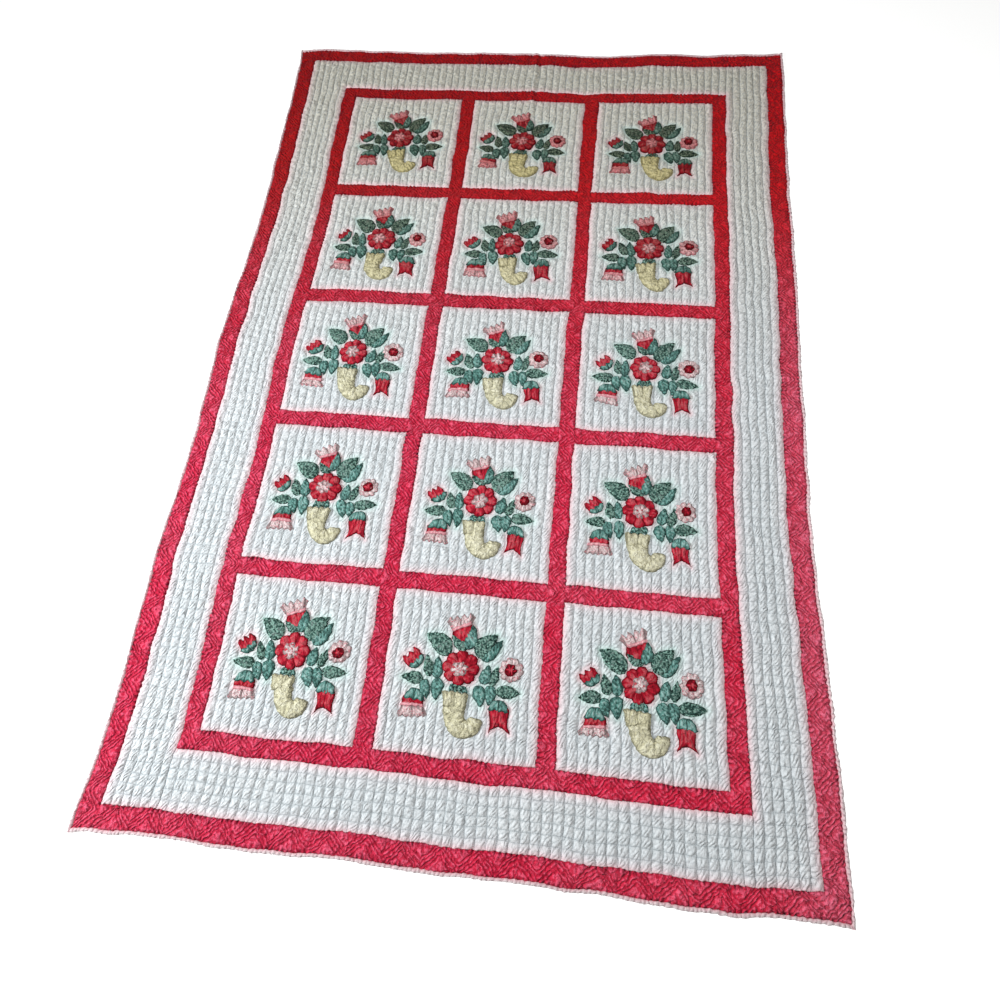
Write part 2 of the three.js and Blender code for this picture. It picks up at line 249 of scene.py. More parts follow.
def points_of(piece):
    """Every point of a piece, in metres."""
    spots = np.empty(len(piece.data.vertices) * 3)
    piece.data.vertices.foreach_get("co", spots)
    return spots.reshape(-1, 3)


def set_points(piece, x, y, z):
    """Moves every point of a piece to its place in millimetres."""
    piece.data.vertices.foreach_set("co", np.stack([x, y, z], 1).ravel() * MM)
    piece.data.update()


def note(piece, **values):
    """Keeps named numbers for each point, for the materials to read."""
    for name, numbers in values.items():
        kept = piece.data.attributes.new(name, "FLOAT", "POINT")
        kept.data.foreach_set("value", np.asarray(numbers, np.float32))


def bare_grid(name, across, up):
    """A grid with the given lines; gives the piece and the place of each point on them."""
    bpy.ops.object.select_all(action="DESELECT")
    bpy.ops.mesh.primitive_grid_add(x_subdivisions=len(across) - 1, y_subdivisions=len(up) - 1, size=1)
    piece = bpy.context.object
    piece.name = piece.data.name = name
    spots = points_of(piece)
    column = np.rint((spots[:, 0] + 0.5) * (len(across) - 1)).astype(int)
    row = np.rint((spots[:, 1] + 0.5) * (len(up) - 1)).astype(int)
    return piece, np.asarray(across, float)[column], np.asarray(up, float)[row]


def close_under(piece, level):
    """Pulls the rim of the active sheet down to a level and closes it there."""
    bpy.ops.object.mode_set(mode="EDIT")
    bpy.ops.mesh.select_mode(type="EDGE")
    bpy.ops.mesh.select_all(action="SELECT")
    bpy.ops.mesh.region_to_loop()
    bpy.ops.mesh.extrude_edges_move(TRANSFORM_OT_translate={"value": (0, 0, -MM)})
    bpy.ops.transform.resize(value=(1, 1, 0), center_override=(0, 0, level * MM))
    bpy.ops.mesh.edge_face_add()
    bpy.ops.mesh.select_all(action="SELECT")
    bpy.ops.mesh.normals_make_consistent(inside=False)
    bpy.ops.object.mode_set(mode="OBJECT")
    bpy.ops.object.shade_smooth_by_angle(angle=SMOOTH_BELOW)


def evenly(start, end, step):
    """Grid lines about one step apart."""
    return np.linspace(start, end, max(2, round(abs(end - start) / step) + 1))


# %% [markdown]
# ## The patches of a bouquet
# Each bouquet is a rose, leaves, buds and bells in a fat yellow horn, an old and common ornament. A patch is
# a cut of cloth with its edge turned under, so it swells a little inside its sewn outline.
# A patch is modelled once: a grid is bent by a small formula into a leaf, a bell or a ring of petals, and
# closed below. The formulas work about the middle of the block.

# %% Make one patch
SUNK_BY = 1.6
LIES_OVER = 2
patches = []


def swelled(edge, height, soft):
    """The rise of a turned-under patch at a distance from its edge."""
    return height * (1 - np.exp(-np.maximum(edge, 0) / soft))


def sew(cloth, level, place, across, up, wrapped=False, lean=0.0):
    """Models one patch at a level over the block and keeps it; place gives its points from a bare grid."""
    piece, s, v = bare_grid("patch", across, up)
    x, y, lift = place(s, v)
    note(piece, puff=np.clip((lift - 0.3) / (0.78 * lift.max()), 0, 1))
    set_points(piece, x, y, lift + lean * (v + 1) / 2)
    if wrapped:
        bpy.ops.object.mode_set(mode="EDIT")
        bpy.ops.mesh.select_all(action="SELECT")
        bpy.ops.mesh.remove_doubles(threshold=0.05 * MM)
        bpy.ops.object.mode_set(mode="OBJECT")
    top_count = len(piece.data.vertices)
    close_under(piece, -SUNK_BY - level)
    puff = np.empty(len(piece.data.vertices), np.float32)
    piece.data.attributes["puff"].data.foreach_get("value", puff)
    faces = [list(face.vertices) for face in piece.data.polygons]
    points = points_of(piece) / MM + (0, 0, level)
    over = level > LIES_OVER
    patches.append(dict(cloth=cloth, points=points, faces=faces, puff=puff, top=top_count, over=over))
    mesh = piece.data
    bpy.data.objects.remove(piece)
    bpy.data.meshes.remove(mesh)


# %% [markdown]
# A leaf is a strip that widens and closes again. A stitched vein pulls a groove down its middle, and small
# ribs slant away from it.

# %% Leaves
ALONG_LEAF = [0, 0.03, 0.08, 0.14, *np.linspace(0.2, 0.88, 13), 0.93, 0.97, 1]
ACROSS_LEAF = [-1, -0.86, -0.58, -0.24, 0, 0.24, 0.58, 0.86, 1]
LEAF_RISE = 4.0
VEIN_DEPTH, VEIN_WIDE = 1.7, 1.8
RIB_RISE, RIB_STEP = 1.1, 9.5


def leaf(cloth, base, tip, width, bow=0.0, level=0.0):
    """A leaf from its base to its tip, bowed to its left by some millimetres."""
    base, axis = np.array(base, float), np.subtract(tip, base)
    length = np.hypot(*axis)
    side = np.array([-axis[1], axis[0]]) / length

    def place(s, v):
        at = np.clip(s, 0.004, 0.996)
        half = 1.24 * width * at**0.5 * (1 - at) ** 0.9
        aside = v * half + bow * np.sin(np.pi * s)
        x, y = base[0] + s * axis[0] + aside * side[0], base[1] + s * axis[1] + aside * side[1]
        edge = np.minimum(half * (1 - np.abs(v)), length * np.minimum(s, 1 - s))
        vein = np.exp(-((v * half / VEIN_WIDE) ** 2)) * np.sin(np.pi * s) ** 0.5
        ribs = np.cos(2 * np.pi * (s * length - 0.9 * np.abs(v) * half) / RIB_STEP)
        lift = swelled(edge, LEAF_RISE, 4.0) - VEIN_DEPTH * vein
        return x, y, lift + RIB_RISE * (ribs - 0.4) * np.minimum(1, edge / 4)

    sew(cloth, level, place, ALONG_LEAF, ACROSS_LEAF)


leaf("green_print", (-32, 40), (-90, 74), 42, -3)
leaf("teal", (37, 33), (78, 79), 28, -3)
leaf("green_print", (24, 39), (64, 92), 43, 4, 0.8)
leaf("green_print", (-85, -25), (-135, -25), 27)
leaf("green_print", (74, -26), (129, -27), 28)
leaf("green_print", (-70, -16), (-82, 27), 24)
leaf("green_print", (65, -18), (74, 26), 21)
leaf("teal", (-53, -17), (-58, 30), 25)
leaf("teal", (-81, -22), (-69, -62), 25, -2)
leaf("teal", (-53, -16), (-51, -63), 29)
leaf("teal", (45, -17), (50, 27), 26)
leaf("teal", (38, -20), (49, -64), 28)
leaf("teal", (63, -19), (65, -62), 25, 2)
leaf("teal", (-13, -26), (-23, -46), 13)
leaf("teal", (4, -26), (13, -45), 13)
leaf("green_print", (-5, -24), (-5, -50), 20, 0, 0.5)
print("leaves modelled:", len(patches))

# %% [markdown]
# The rose and the daisy are discs whose edge goes in and out with the petals. Their grid runs round the
# middle, so its first and last lines are merged, and the innermost line becomes one point.

# %% Rose and daisy
OUTWARD = [0, 0.22, 0.45, 0.68, 0.86, 0.95, 1]


def petals(cloth, level, centre, radius, count, dip, turn=0.0, height=2.8, parted=0.7):
    """A disc with a scalloped edge and a groove between each two petals."""

    def place(s, v):
        angle = 2 * np.pi * s + math.radians(turn)
        wave = np.abs(np.sin(np.pi * count * s))
        rim = radius * (1 - dip * (1 - wave) ** 1.3)
        far = rim * v
        gap = np.exp(-((far * 2 * np.arcsin(np.clip(wave, 0, 1)) / count / 3.0) ** 2))
        groove = gap * np.clip((v - 0.25) / 0.3, 0, 1)
        lift = swelled(rim - far, height, 3.4) - parted * height * groove * (1 - v**8)
        return centre[0] + far * np.cos(angle), centre[1] + far * np.sin(angle), lift

    sew(cloth, level, place, np.linspace(0, 1, 6 * count + 1), OUTWARD, wrapped=True)


petals("rose_red", 0.7, (-5, 10), 40.5, 8, 0.14, turn=22, height=4.4)
petals("pink_print", 4.9, (-6, 10), 18.5, 6, 0.2, turn=50, height=1.5)
petals("pink_print", 0, (101, 19), 27, 9, 0.13, turn=5, parted=0.35)
petals("rose_red", 3.8, (101, 19), 13, 6, 0.08, turn=30, height=1.6)
print("patches so far:", len(patches))

# %% [markdown]
# Flowers seen from the side share one plan: a ribbed cup of green, then a red part, then a frill. They are
# drawn upright on a foot point and turned into place, so a bell is only a flower that hangs.

# %% Side-on flowers
ALONG_CUP = np.linspace(0, 1, 17)
UP_CUP = [-1, -0.85, -0.5, 0, 0.5, 0.85, 1]


def turned(foot, turn, x, y):
    """Where a point of an upright flower goes when the flower is turned about its foot."""
    a = math.radians(turn)
    return foot[0] + x * math.cos(a) - y * math.sin(a), foot[1] + x * math.sin(a) + y * math.cos(a)


def between_lines(
    cloth, level, foot, turn, widths, lower, upper, height, pleats, deep, lean=0.0, waist=0.0
):
    """A pleated patch between a lower and an upper line, each a function of the place across, -1 to 1."""

    def place(s, v):
        q = 2 * s - 1
        up = (v + 1) / 2
        low, high = lower(q), upper(q)
        half = 0.5 * (widths[0] * (1 - up) + widths[1] * up) * (1 - waist * np.sin(np.pi * up**1.5) ** 2)
        tall = np.maximum(high - low, 0.5)
        x, y = turned(foot, turn, q * half, low + tall * up)
        edge = np.minimum(half * (1 - np.abs(q)), tall * np.minimum(up, 1 - up))
        folds = np.abs(np.sin(0.5 * np.pi * pleats * q))
        return x, y, swelled(edge, height, 3.0) - deep * (1 - folds) ** 2 * np.minimum(1, edge / 2)

    sew(cloth, level, place, ALONG_CUP, UP_CUP, lean=lean)


def cup_line(tall):
    """A line like the bottom of a cup."""
    return lambda q: tall * (1 - np.sqrt(np.maximum(0, 1 - q * q)))


def toothed(base, tall, count):
    """A line with points: high in the middle of each tooth."""
    return lambda q: base + tall * (1 - np.abs(2 * ((0.5 * (q + 1) * count) % 1) - 1)) ** 0.8


def forked(tall, notch):
    """A line that rises to a point at each corner, with a notch between."""
    return lambda q: tall - notch * (1 - np.abs(q)) ** 0.8


def level_line(base, bow):
    """A level line whose ends rise by the bow."""
    return lambda q: base + bow * q * q


def calyx(foot, turn, width, tall):
    """A ribbed cup that leans up over the red part it holds."""
    low, high = cup_line(tall * 0.92), toothed(tall - 2, 5, 3)
    widths = width * 0.96, width * 1.04
    between_lines("teal", 0.2, foot, turn, widths, low, high, height=3.2, pleats=7, deep=2.2, lean=3.3)


def frilled(foot, turn, width, top, frill, flare, points, tall):
    """A pink frill that flares out, and the pink fold that covers its seam."""
    low, high = level_line(top - 2, 1), toothed(top + frill - tall, tall, points)
    between_lines("pink_print", 0, foot, turn, (width, flare), low, high, height=2.8, pleats=9, deep=2.4)
    low, high = level_line(top - 4.5, 1), level_line(top + 2.5, 1)
    widths = width * 1.01, width * 1.06
    between_lines("pink_fold", 2.6, foot, turn, widths, low, high, height=2.2, pleats=9, deep=0.8)


def banded_bell(foot, turn, width, cup, band, frill, flare):
    """Cup, red band and frill."""
    calyx(foot, turn, width, cup)
    low, high = level_line(cup * 0.5, cup * 0.4), level_line(cup + band, 1)
    widths = width, width * 1.02
    between_lines("rose_red", 0.4, foot, turn, widths, low, high, height=3.0, pleats=5, deep=1.2)
    frilled(foot, turn, width, cup + band, frill, flare, points=5, tall=6)


def rose_bud(foot, turn, width, tall, frill, flare):
    """A rounded red body between two sepals, under a frill with long points."""
    neck = 0.76 * width
    low, high = cup_line(0.66 * tall), level_line(tall, 1)
    between_lines("rose_red", 0.2, foot, turn, (width, neck), low, high, height=2.6, pleats=3, deep=1.0)
    for side, cloth, up, wide in ((1, "teal", 0.95, 25), (-1, "green_print", 0.74, 20)):
        base, tip = turned(foot, turn, side, -2), turned(foot, turn, side * 0.46 * width, up * tall)
        leaf(cloth, base, tip, wide, bow=side * -4, level=2.0)
    frilled(foot, turn, neck, tall, frill, flare, points=4, tall=11)


def bud(foot, turn, width, cup, flare, tips, waist):
    """Cup and red petals, which narrow at the waist and end in tips."""
    calyx(foot, turn, width, cup)
    low, widths = level_line(cup * 0.4, cup * 0.5), (width * 0.94, flare)
    between_lines(
        "rose_red", 0.2, foot, turn, widths, low, tips, height=3.4, pleats=3, deep=1.3, waist=waist
    )


rose_bud((2, 55), 22, width=54, tall=44, frill=30, flare=63)
bud((-97, 0), 43, width=42, cup=15, flare=41, tips=toothed(31, 11, 3), waist=0.0)
banded_bell((-97, -43), 180, width=46, cup=23, band=15, frill=23, flare=65)
bud((88, -44), 181, width=44, cup=24, flare=43, tips=forked(69, 13), waist=0.2)
print("patches so far:", len(patches))

# %% [markdown]
# The horn is one strip along a J-shaped line. Its width changes on the way, and gathers run across it as in
# cloth eased round a bend. A pleated cuff covers its mouth.

# %% Horn of plenty
HORN_X = [-9, -8, -3, 7, 20, 32, 37, 38]
HORN_Y = [-66, -82, -97, -108, -112, -106, -96, -86]
HORN_HALF = [24, 22, 20.5, 20, 19.5, 18, 17, 15]
HORN_STEPS = np.linspace(0, 1, len(HORN_X))
HORN_LENGTH = 95
ACROSS_HORN = [-1, -0.9, -0.66, -0.33, 0, 0.33, 0.66, 0.9, 1]


def horn_place(s, v):
    """The horn's points, from the share of its length and the place across, -1 to 1."""
    x, y = eased(HORN_STEPS, HORN_X, s), eased(HORN_STEPS, HORN_Y, s)
    back, ahead = np.clip(s - 0.01, 0, 1), np.clip(s + 0.01, 0, 1)
    dx = eased(HORN_STEPS, HORN_X, ahead) - eased(HORN_STEPS, HORN_X, back)
    dy = eased(HORN_STEPS, HORN_Y, ahead) - eased(HORN_STEPS, HORN_Y, back)
    size = np.hypot(dx, dy)
    end = np.clip((s - 0.9) / 0.1, 0, 1)
    half = eased(HORN_STEPS, HORN_HALF, s) * np.sqrt(1 - 0.55 * end**2)
    edge = np.minimum(half * (1 - np.abs(v)), HORN_LENGTH * np.minimum(s + 0.02, 1 - s))
    gathers = np.cos(2 * np.pi * (6.5 * s + 0.25 * np.sin(3 * v)))
    gathers += 0.6 * np.cos(2 * np.pi * (10.3 * s - 0.4 * v))
    lift = swelled(edge, 4.8, 4.5) - 1.2 * np.maximum(gathers, -0.5) * np.minimum(1, edge / 4)
    return x - v * half * dy / size, y + v * half * dx / size, lift


sew("yellow", 0.3, horn_place, np.linspace(0, 1, 30), ACROSS_HORN)
low, high = level_line(0, -1), toothed(30, 4, 4)
between_lines("yellow", 3.0, (-10, -74), 0, (46, 57), low, high, height=2.6, pleats=9, deep=1.8)
triangles = sum(len(face) - 2 for patch in patches for face in patch["faces"])
print("patches in one bouquet:", len(patches), "with triangles:", triangles)

# %% [markdown]
# ## Sew a bouquet on every block
# Hand-cut patches are never quite alike, so each copy of a patch is nudged, turned and scaled by a little.
# All patches of one cloth become one mesh: there are hundreds of them, and one object each would be slow.

# %% Copy the bouquet to the fifteen blocks
PATCH_SEAT = 4.3
LOWEST = 1.0
BOUQUET_TURN, BOUQUET_SHIFT = 1.3, 2.0
PATCH_TURN, PATCH_SHIFT, PATCH_SCALE = 2.5, 0.9, 0.02
patch_wrinkle = ripples(51, 28, 11, 24)
dice = np.random.default_rng(2024)


def about(turn):
    """The matrix that turns flat points by some degrees."""
    a = math.radians(turn)
    return np.array([[math.cos(a), math.sin(a)], [-math.sin(a), math.cos(a)]])


sewn = {}
hollows = {}
for block, box in blocks.items():
    middle = np.array([(box["left"] + box["right"]) / 2, (box["foot"] + box["head"]) / 2])
    whole_turn = about(dice.normal(0, BOUQUET_TURN))
    whole_shift = dice.normal(0, BOUQUET_SHIFT, 2)
    tops, red_tops, green_tops = [], [], []
    for patch in patches:
        flat = patch["points"][:, :2]
        own_middle = flat.mean(0)
        own_turn = about(dice.normal(0, PATCH_TURN))
        scale = dice.normal(1, PATCH_SCALE)
        nudge = dice.normal(0, PATCH_SHIFT, 2)
        flat = (flat - own_middle) @ own_turn * scale + own_middle + nudge
        flat = flat @ whole_turn + whole_shift + middle
        tops.append(flat[: patch["top"]])
        if patch["cloth"] == "rose_red":
            red_tops.append(flat[: patch["top"]])
        if patch["cloth"] in ("teal", "green_print"):
            green_tops.append(flat[: patch["top"]])
        x, y = lay(flat[:, 0], flat[:, 1])
        folds = np.minimum(np.abs(patch_wrinkle(flat[:, 0], flat[:, 1])), 1.3)
        wrinkled = (1.8 * folds - 1.2) * (1 if patch["over"] else np.minimum(1, 1.4 * patch["puff"]))
        z = PATCH_SEAT + patch["points"][:, 2] + wrinkled + swell(flat[:, 0], flat[:, 1])
        z = np.maximum(z, LOWEST)
        empty = dict(points=[], faces=[], puff=[], tone=[], count=0)
        cloth = sewn.setdefault(patch["cloth"], empty)
        cloth["points"].append(np.stack([x, y, z], 1))
        cloth["faces"].extend([[i + cloth["count"] for i in face] for face in patch["faces"]])
        cloth["puff"].append(np.clip(patch["puff"] * (0.3 + 0.8 * folds), 0, 1))
        cloth["tone"].append(np.full(len(x), dice.uniform(-1, 1)))
        cloth["count"] += len(x)
    hollows[block] = [np.concatenate(spots) for spots in (tops, red_tops, green_tops)]
print({name: cloth["count"] for name, cloth in sewn.items()})

# %% Turn each cloth's patches into one piece
patch_pieces = {}
for name, cloth in sewn.items():
    mesh = bpy.data.meshes.new(f"patches_{name}")
    mesh.from_pydata((np.concatenate(cloth["points"]) * MM).tolist(), [], cloth["faces"])
    piece = bpy.data.objects.new(f"patches_{name}", mesh)
    bpy.context.scene.collection.objects.link(piece)
    note(piece, puff=np.concatenate(cloth["puff"]), tone=np.concatenate(cloth["tone"]))
    bpy.ops.object.select_all(action="DESELECT")
    piece.select_set(True)
    bpy.context.view_layer.objects.active = piece
    bpy.ops.object.shade_smooth_by_angle(angle=SMOOTH_BELOW)
    patch_pieces[name] = piece
print("pieces of sewn-on cloth:", list(patch_pieces))

# %% [markdown]
# ## White cloth, quilted in squares
# Rows of stitches run up and across the white cloth about 21 mm apart. Between them the wadding swells, most
# of all along the length, and the thread draws the cloth into slanting puckers, so a column of squares looks
# like a twisted rope. The rows across pull harder towards the foot. The grid has a line on every row of
# stitches and closer lines beside it, where the cloth turns down most.

# %% Heights of the white cloth
STITCH_HEIGHT = 3.5
CHANNEL_RISE = 2.9
SQUARE_WIDE, SQUARE_TALL = 21.2, 21.8
PULL_FADES = 1100
CHANNEL_LINES = [0, 0.075, 0.21, 0.4, 0.6, 0.79, 0.925]
ROW_LINES = [0, 0.12, 0.37, 0.63, 0.88]
STRAND_SLANT = math.radians(52)
STRAND_STEP = 7.4
strand_drift = ripples(21, 16, 30, 90)
strand_depth = ripples(25, 20, 14, 34)
crumple = ripples(22, 26, 8, 18)
gather_x = ripples(23, 7, 9, 11.5, heading=0, spread=10)
gather_y = ripples(24, 7, 9, 11.5, heading=90, spread=10)


def quilted_lines(start, end, count, fractions):
    """Grid lines for a number of stitched squares side by side."""
    pitch = (end - start) / count
    return np.array([start + pitch * (i + f) for i in range(count) for f in fractions] + [end])


def strand_turns(x, y, channel):
    """Counts the slanting puckers; whole numbers fall in the crease between two of them."""
    climb = y * math.cos(STRAND_SLANT) - x * math.sin(STRAND_SLANT)
    return climb / STRAND_STEP + 0.618 * channel + 0.34 * strand_drift(x, y)


def seam_gathers(x, y, box, others):
    """Small tucks that stand square to a seam with the other colour and fade within a finger's width."""
    side = np.minimum(x - box["left"], box["right"] - x)
    end = np.minimum(y - box["foot"], box["head"] - y)
    gap = gap_to(others, x, y)
    by_side, by_end = np.exp(-side / 3), np.exp(-end / 3)
    tucks = (by_side * gather_y(x, y) + by_end * gather_x(x, y)) / (by_side + by_end + 1e-9)
    return tucks * np.exp(-gap / 5), gap


def pillow(place):
    """The swell between two rows of stitches, which lie at whole numbers."""
    return np.abs(np.sin(np.pi * place)) ** 0.6


def white_sheet(name, box, pull, twist):
    """A white piece with squares, which the rows across pull in, twisted puckers and seam tucks."""
    wide, tall = box["right"] - box["left"], box["head"] - box["foot"]
    channels, squares = round(wide / SQUARE_WIDE), round(tall / SQUARE_TALL)
    columns = quilted_lines(box["left"], box["right"], channels, CHANNEL_LINES)
    piece, x, y = bare_grid(name, columns, quilted_lines(box["foot"], box["head"], squares, ROW_LINES))
    across = (x - box["left"]) / wide * channels
    along = (y - box["foot"]) / tall * squares
    channel = np.floor(across + 1e-6)
    tucks, seam = seam_gathers(x, y, box, red_boxes)
    pull = pull * np.clip(0.55 - y / PULL_FADES, 0.15, 1)
    puff = pillow(across) * (1 - pull + pull * pillow(along)) * (1 - np.exp(-seam / 2.5))
    turns = strand_turns(x, y, channel)
    depth = twist * np.clip(1 + 0.55 * strand_depth(x, y), 0.2, 1.9)
    z = CHANNEL_RISE * puff * (1 + 0.1 * crumple(x, y))
    ropes = 1.1 * depth * (np.abs(np.sin(np.pi * turns)) - 0.64)
    z += (ropes + 0.7 * crumple(x, y)) * (0.3 + 0.7 * puff) * np.minimum(1, seam / 4 + 0.2)
    z += 0.8 * tucks
    note(piece, across=across, along=along, run=y, puff=puff, tick=np.clip(-tucks, 0, 1))
    note(piece, strand=turns, depth=depth * (0.35 + 0.65 * puff))
    return piece, x, y, z, seam


# %% [markdown]
# Round each patch the ground is stitched down, so the bouquet sits in a hollow. A k-d tree finds how far each
# point of the ground is from the nearest patch.

# %% Lay the white cloth
BLOCK_PULL, SIDE_PULL, FOOT_PULL = 0.55, 0.7, 0.9
TWIST, FOOT_TWIST = 0.75, 0.55
white_pieces = {}


def nearest(spots, x, y):
    """How far each point is from the nearest of some spots."""
    tree = kdtree.KDTree(len(spots))
    for i, (px, py) in enumerate(spots):
        tree.insert((px, py, 0), i)
    tree.balance()
    return np.array([tree.find((px, py, 0))[2] for px, py in zip(x, y)])


def lay_sheet(piece, x, y, z):
    """Puts a drawn sheet where it really lies and closes it below."""
    flat_x, flat_y = lay(x, y)
    set_points(piece, flat_x, flat_y, np.maximum(STITCH_HEIGHT + z + swell(x, y), LOWEST))
    close_under(piece, 0)


def finish_white(piece, x, y, z, seam, bleed=0):
    """Lays a white piece and notes where red has bled into it."""
    note(piece, seam=np.maximum(np.exp(-seam / 8.0), bleed))
    lay_sheet(piece, x, y, z)
    white_pieces[piece.name] = piece


for node, box in blocks.items():
    piece, x, y, z, seam = white_sheet(f"cloth_{node}", box, BLOCK_PULL, TWIST)
    gap, red_gap, green_gap = [nearest(spots, x, y) for spots in hollows[node]]
    note(piece, mint=np.exp(-np.maximum(green_gap - 2, 0) / 6))
    sunk = 1 - np.clip((gap - 2.5) / 6.0, 0, 1) ** 1.5
    z = z * (1 - sunk) + np.minimum(z, 0.1) * sunk
    finish_white(piece, x, y, z, seam, bleed=0.75 * np.exp(-np.maximum(red_gap - 2, 0) / 5))
print("blocks laid:", len(white_pieces), "faces in one:", len(piece.data.polygons))

# %% White borders
for node, box in white_borders.items():
    pull, twist = (FOOT_PULL, FOOT_TWIST) if node.endswith("foot") else (SIDE_PULL, TWIST)
    finish_white(*white_sheet(f"cloth_{node}", box, pull, twist))
print("white pieces laid:", len(white_pieces))

# %% [markdown]
# ## Red cloth, quilted in a zigzag
# Four stitched lines run side by side in a zigzag down each red strip and leave plain triangles along its
# edges. A point's distance from the band of lines says how far it swells.

# %% Heights of the red cloth
LINE_STEP = 9.2
BAND = 1.5 * LINE_STEP
ZIGZAG_INSET = 3.75
SQUARE_TO_LINE = 0.71
RED_GRID = 2.95
BEAD_MOST = 1.4
red_crumple = ripples(31, 26, 14, 30)
line_wobble = ripples(32, 18, 16, 44)
red_pieces = {}


def zigzag(run, half):
    """The middle line of the zigzag, which runs at 45 degrees from edge to edge."""
    swing = half - ZIGZAG_INSET
    return 4 * swing * np.abs((run / (4 * swing)) % 1 - 0.5) - swing


def red_sheet(name, box):
    """A red piece with its zigzag band, plain triangles, beads of puckered cloth and seam tucks."""
    upright = box["head"] - box["foot"] > box["right"] - box["left"]
    wide = [box["left"], box["right"]] if upright else [box["foot"], box["head"]]
    long = [box["foot"], box["head"]] if upright else [box["left"], box["right"]]
    half = (wide[1] - wide[0]) / 2
    across = evenly(box["left"], box["right"], RED_GRID)
    piece, x, y = bare_grid(name, across, evenly(box["foot"], box["head"], RED_GRID))
    run = (y if upright else x) - sum(long) / 2
    aside = (x if upright else y) - sum(wide) / 2
    level = aside - zigzag(run, half) + 1.4 * line_wobble(x, y)
    off = np.maximum(np.abs(level) - BAND, 0) * SQUARE_TO_LINE
    tucks, seam = seam_gathers(x, y, box, white_boxes)
    taper = 1 - np.exp(-seam / 2.0)
    puff = (1 - np.exp(-off / 3.0)) * taper
    beads = np.minimum(np.abs(red_crumple(x, y)), BEAD_MOST)
    ridges = np.abs(np.sin(np.pi * (level / LINE_STEP + 0.5))) * np.exp(-off)
    z = 0.3 * taper + 2.0 * puff + (1.3 * ridges + 1.8 * beads - 1.1) * taper + 1.1 * tucks
    note(piece, run=run, level=level, puff=puff, bead=beads / BEAD_MOST)
    note(piece, seam=np.exp(-seam / 3.0), tick=np.clip(-tucks, 0, 1))
    lay_sheet(piece, x, y, z)
    red_pieces[piece.name] = piece


for node, box in {**strips, **red_borders}.items():
    red_sheet(f"cloth_{node}", box)
print("red pieces laid:", len(red_pieces))

# %% [markdown]
# ## The binding
# A folded strip of white cloth wraps the edge. It is a small roll, drawn up into puckers by its hem stitches.

# %% Lay the binding
ROLL = [0, 0.1, 0.25, 0.45, 0.65, 0.85, 0.95, 1.0]
HEM_STEP = 9.6
BINDING_GRID = 2.4
OPPOSITE = {"left": "right", "right": "left", "head": "foot", "foot": "head"}
binding_pieces = {}
hem_drift = ripples(41, 8, 40, 120, heading=0, spread=1)


def binding_roll(name, box, side):
    """The binding on one side of the quilt, with its hem stitched to the red border."""
    upright = side in ("left", "right")
    inner, outer = box[OPPOSITE[side]], box[side]
    roll = np.sort(inner + (outer - inner) * np.array(ROLL))
    start, end = ("foot", "head") if upright else ("left", "right")
    run_lines = evenly(box[start], box[end], BINDING_GRID)
    piece, x, y = bare_grid(name, *((roll, run_lines) if upright else (run_lines, roll)))
    run, aside = (y, x) if upright else (x, y)
    v = (aside - inner) / (outer - inner)
    tug = np.abs(np.sin(np.pi * (run / HEM_STEP + 0.25 * v + 0.2 * hem_drift(run, np.zeros_like(run)))))
    crown = np.sin(np.pi * v)
    z = STITCH_HEIGHT + 2.4 * crown**0.6 - 2.8 * v**9 + (1.3 * tug - 0.9) * crown**0.5
    note(piece, puff=tug, seam=np.exp(-v * BINDING / 5.5))
    flat_x, flat_y = lay(x, y)
    set_points(piece, flat_x, flat_y, np.maximum(z + swell(x, y) * (1 - v**4), 0.3))
    close_under(piece, 0)
    binding_pieces[piece.name] = piece


for node, box in bindings.items():
    binding_roll(f"cloth_{node}", box, node.split("_")[1])
print("binding pieces laid:", len(binding_pieces))

# %% [markdown]
# ## Cotton, as a material
# All the cloth is plain-woven cotton: matt, with a soft sheen. Small helpers keep the node trees short: `add`
# makes a node, `calc` does arithmetic, `blend` mixes two colours, `stain_and_painted_light` lays some of a
# colour over a cloth, as a stain, a painted shade or a painted highlight, and `patchy` gives cloudy noise.

# %% Node helpers
def join(tree, value, socket):
    """Gives a socket another socket's value, a number, a vector or a colour of three numbers."""
    if isinstance(value, bpy.types.NodeSocket):
        tree.links.new(value, socket)
    else:
        socket.default_value = (*value, 1) if socket.type == "RGBA" else value


def fill(tree, node, values):
    """Fills the named sockets of a node."""
    for name, value in values.items():
        join(tree, value, node.inputs[name])


def add(tree, kind, **settings):
    made = tree.nodes.new(f"ShaderNode{kind}")
    for key, value in settings.items():
        setattr(made, key, value)
    return made


def calc(tree, work, first, second=0.0, third=0.0):
    made = add(tree, "Math", operation=work)
    for socket, value in zip(made.inputs, (first, second, third)):
        join(tree, value, socket)
    return made.outputs[0]


def blend(tree, share, first, second, kind="MIX"):
    made = add(tree, "Mix", data_type="RGBA", blend_type=kind, clamp_factor=True)
    fill(tree, made, {"Factor": share, "A": first, "B": second})
    return made.outputs["Result"]


def times(tree, first, second):
    return calc(tree, "MULTIPLY", first, second)


def stain_and_painted_light(tree, cloth, where, most, colour, kind="MIX"):
    """Lays a colour over a cloth where a value is high, up to a share of it: a stain, a painted shade or a
    painted highlight.
    """
    return blend(tree, times(tree, where, most), cloth, colour, kind)


def ramp(tree, value, low, high):
    """Nought below the low value, one above the high one, soft between."""
    made = add(tree, "MapRange", interpolation_type="SMOOTHSTEP")
    fill(tree, made, {"Value": value, "From Min": low, "From Max": high})
    return made.outputs["Result"]


def noted(tree, name):
    """A value that was noted at the points of the mesh."""
    return add(tree, "Attribute", attribute_name=name).outputs["Fac"]


def spot(tree, stretch=(1, 1, 1), turn=0.0):
    """The place on the cloth, in metres, stretched or turned about Z."""
    made = add(tree, "Mapping")
    place = add(tree, "TexCoord").outputs["Object"]
    fill(tree, made, {"Vector": place, "Rotation": (0, 0, math.radians(turn)), "Scale": stretch})
    return made.outputs["Vector"]


